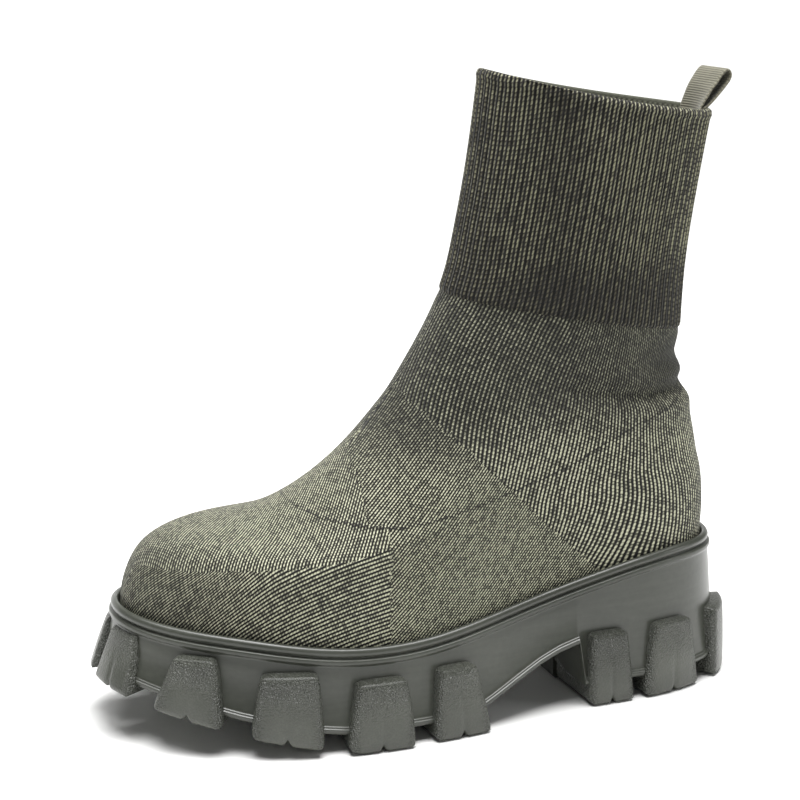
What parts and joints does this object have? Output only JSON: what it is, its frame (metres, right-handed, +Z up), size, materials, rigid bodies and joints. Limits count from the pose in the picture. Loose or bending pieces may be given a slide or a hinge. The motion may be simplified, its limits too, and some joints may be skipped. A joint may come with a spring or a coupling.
{
  "type": "sock boot",
  "caption": "Left sock boot: knitted upper with a ribbed shaft, open collar with a ribbon pull loop at the back, and a moulded platform sole with side lugs.",
  "frame": {"origin": "centre of the boot's box, on the ground plane under the sole", "axes": "+X from the heel to the toe, +Y to the wearer's left, which is the outer side of this left boot, +Z up"},
  "size_m": [0.2874, 0.1254, 0.2708],
  "materials": {
    "knit": "matt knit",
    "moulded_sole": "satin",
    "liner": "matt",
    "ribbon": "grosgrain"
  },
  "bodies": {
    "root": {"upper": "knit", "sole": "moulded_sole", "insole": "liner", "pull_loop": "ribbon"}
  },
  "joints": []
}
